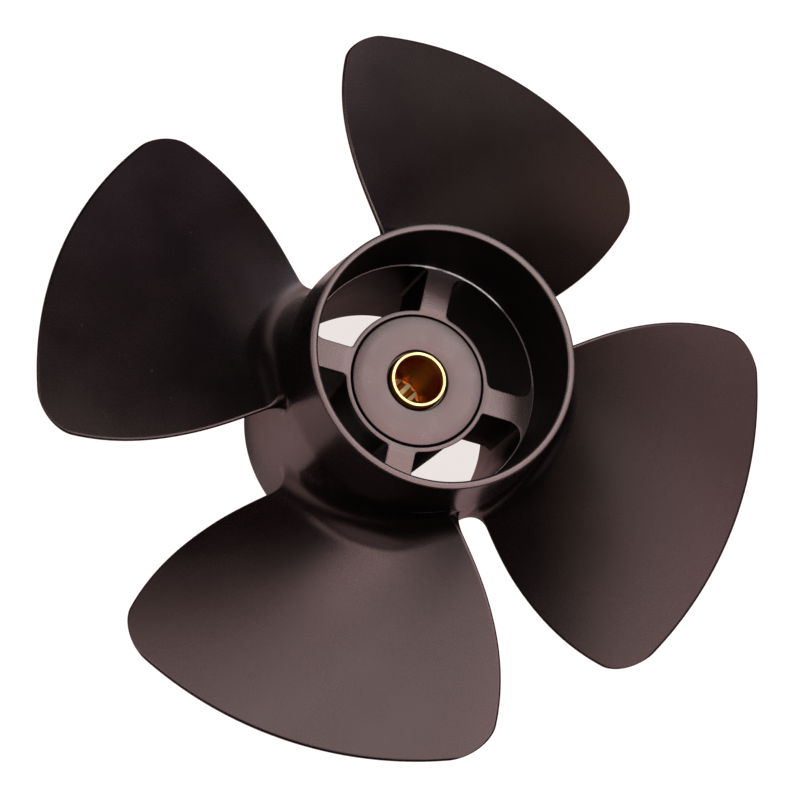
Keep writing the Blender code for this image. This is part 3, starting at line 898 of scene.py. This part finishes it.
LAMPS = (  # azimuth and elevation in degrees, watts and colour of each panel of the softbox
    (18, 62, 4.24, (0.90, 1.00, 0.99)),
    (0, 76, 3.19, (1.00, 0.77, 0.73)),
    (300, 76, 3.16, (1.00, 0.74, 0.95)),
    (120, 48, 2.32, (1.00, 0.94, 0.93)),
    (120, 76, 1.81, (0.97, 1.00, 1.00)),
    (240, 76, 1.72, (1.00, 0.98, 0.97)),
    (342, 62, 1.67, (1.00, 0.87, 0.99)),
    (126, 62, 1.49, (1.00, 0.98, 0.99)),
    (90, 62, 1.32, (1.00, 0.95, 0.95)),
    (180, 76, 1.13, (1.00, 0.97, 0.98)),
    (0, 90, 1.03, (0.86, 1.00, 0.94)),
    (270, 62, 0.78, (1.00, 1.00, 0.88)),
    (0, 9, 0.74, (1.00, 0.84, 0.86)),
    (126, 28, 0.80, (1.00, 0.92, 0.90)),
    (306, 62, 0.55, (1.00, 0.89, 0.74)),
    (0, 48, 0.44, (0.97, 1.00, 0.90)),
    (330, 48, 0.61, (1.00, 0.79, 0.62)),
    (30, 48, 0.89, (0.92, 0.80, 1.00)),
    (90, 48, 0.24, (1.00, 0.75, 0.70)),
    (90, 28, 0.08, (0.80, 0.85, 1.00)),
    (234, 62, 0.19, (1.00, 0.94, 0.62)),
    (18, 28, 0.23, (0.84, 0.63, 1.00)),
    (36, 9, 0.36, (0.95, 0.92, 1.00)),
    (270, 28, 0.16, (0.92, 0.85, 1.00)),
    (342, 28, 0.20, (1.00, 1.00, 0.89)),
)
FILL = 165, 36, 2.0, (1.0, 0.85, 0.85)  # one wide, weak lamp beside the softbox, in the same terms
FILL_SIZE = 1.0
BACKDROP_COLOUR = (1.0, 1.0, 1.0, 1)
CAMERA_PLACE = Vector((-0.2370, -0.0564, 0.6893))
CAMERA_RIGHT = Vector((0.81626, -0.51797, 0.25578))
CAMERA_UP = Vector((0.46372, 0.85155, 0.24459))
CAMERA_FOCAL_PIXELS = 1964.2
IMAGE_WIDTH = 800
SENSOR_WIDTH = 36.0  # mm
AIM = Vector((0, 0, 0.06))


def stage_plane(name, height):
    """A square of the stage at a height, with a new material of its own name."""
    made = Nodes(name)
    bm = bmesh.new()
    bmesh.ops.create_grid(bm, x_segments=8, y_segments=8, size=FLOOR_SIZE / 2)
    plane = mesh_object(name, bm, [made.material])
    plane.location.z = height
    return plane, made


def make_floor():
    """A pale floor with painted shade under the object and painted glows, and over it a sheet of light
    for the camera alone.

    Only the camera's rays meet the sheet: what the object mirrors is the floor, with its real shadows
    and its painted shade and glows.
    """
    floor, made = stage_plane("floor", -2 * FLOOR_GAP)
    # painted glow: the floor glows round the object, fading farther out
    near = made.ramp(made.radius(), BARREL_RADIUS, BARREL_RADIUS + 6 * MM, 0.0, BOUNCE)
    outside = made.math("MULTIPLY", near, made.ramp(made.radius(), *BOUNCE_FADE))
    bore = made.ramp(made.radius(), SLEEVE_RADIUS, SPLINE_TIP_RADIUS, 0.0, BORE_GLOW)
    within = made.ramp(made.radius(), SLEEVE_RADIUS, SLEEVE_RADIUS + 1 * MM)
    glow = made.math("ADD", outside, bore)
    glow_colour = made.mix(within, BORE_COLOUR, BOUNCE_COLOUR)
    # painted pools of light: spots where the floor glows
    for place, radius, strength, spot_colour in SPOTS:
        spot = made.ramp(made.distance(place), radius, radius * SPOT_CORE)
        glow = made.math("ADD", glow, made.math("MULTIPLY", spot, strength))
        glow_colour = made.mix(spot, glow_colour, spot_colour)
    # painted shade: the floor is darker inside the barrel
    colour = made.mix(made.ramp(made.radius(), AFT_INNER_RADIUS, AFT_RADIUS), SHADE_COLOUR, FLOOR_COLOUR)
    colour = made.mix(made.ramp(made.radius(), *FAR_FADE), colour, FAR_COLOUR)
    # painted shadow: a round, darker patch of the floor between two blades
    shadow = made.ramp(made.distance(SHADOW_PLACE), SHADOW_RADIUS, SHADOW_RADIUS * SPOT_CORE)
    colour = made.mix(shadow, colour, SHADE_COLOUR)
    made.set(base_color=colour, roughness=0.8, emission_color=glow_colour, emission_strength=glow)
    sheet, made = stage_plane("floor_glow", -FLOOR_GAP)
    output = made.tree.nodes["Material Output"]
    glow = made.add("ShaderNodeEmission")
    glow.inputs["Color"].default_value = FLOOR_GLOW_COLOUR
    # painted shade: the sheet glows less inside the barrel
    shade = made.ramp(made.radius(), AFT_INNER_RADIUS - 2 * MM, BARREL_RADIUS, *FLOOR_GLOW)
    made.put(shade, glow.inputs["Strength"])
    made.tree.links.new(glow.outputs[0], output.inputs["Surface"])
    sheet.visible_diffuse = sheet.visible_glossy = sheet.visible_transmission = False
    sheet.visible_volume_scatter = sheet.visible_shadow = False


def add_lamp(name, size, azimuth, elevation, power, colour):
    """A round lamp that faces the object from an azimuth and elevation in degrees."""
    data = bpy.data.lights.new(name, "AREA")
    data.shape = "DISK"
    data.size = size
    data.energy = power
    data.color = colour
    lamp = bpy.data.objects.new(name, data)
    bpy.context.scene.collection.objects.link(lamp)
    turn, rise = math.radians(azimuth), math.radians(elevation)
    away = Vector((math.cos(rise) * math.cos(turn), math.cos(rise) * math.sin(turn), math.sin(rise)))
    lamp.location = AIM + away * LAMP_DISTANCE
    lamp.rotation_mode = "QUATERNION"
    lamp.rotation_quaternion = away.to_track_quat("Z", "Y")


def make_lamps():
    """A wide overhead softbox in panels, brightest where the flat faces mirror it into the camera."""
    for number, lamp in enumerate(LAMPS, 1):
        add_lamp(f"softbox_{number}", LAMP_SIZE, *lamp)
    add_lamp("fill", FILL_SIZE, *FILL)


def make_world():
    """A pale backdrop behind the floor. It lights nothing: the softbox and the floor do."""
    world = bpy.data.worlds.new("studio")
    bpy.context.scene.world = world
    world.use_nodes = True
    world.node_tree.nodes["Background"].inputs["Color"].default_value = BACKDROP_COLOUR
    seen_by = world.cycles_visibility
    seen_by.diffuse = seen_by.glossy = seen_by.transmission = seen_by.scatter = False


def make_camera():
    """The camera at the photograph's place."""
    data = bpy.data.cameras.new("camera")
    data.sensor_width = SENSOR_WIDTH
    data.lens = CAMERA_FOCAL_PIXELS * SENSOR_WIDTH / IMAGE_WIDTH
    data.clip_start, data.clip_end = 0.05, 20
    camera = bpy.data.objects.new("camera", data)
    bpy.context.scene.collection.objects.link(camera)
    right = CAMERA_RIGHT.normalized()
    back = right.cross(CAMERA_UP).normalized()
    up = back.cross(right)
    axes = Matrix((right, up, back)).transposed().to_4x4()
    camera.matrix_world = Matrix.Translation(CAMERA_PLACE) @ axes
    bpy.context.scene.camera = camera


def build():
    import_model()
    casting = make_casting([black_paint(), turned_paint(), inside_paint(), wall_paint()])
    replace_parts(casting, "barrel", "inner_hub", *[f"rib_{n}" for n in range(1, 5)], *[f"blade_{n}" for n in range(1, 5)])
    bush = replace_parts(make_bush([bush_rubber()]), "rubber_bush")
    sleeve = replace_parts(make_sleeve([brass()]), "splined_sleeve")
    for piece, slot in ((casting, "black_paint"), (bush, "bush_rubber"), (sleeve, "brass")):
        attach(piece, BODY)
    make_floor()
    make_lamps()
    make_world()
    make_camera()
    bpy.context.scene.view_settings.view_transform = "Standard"


build()
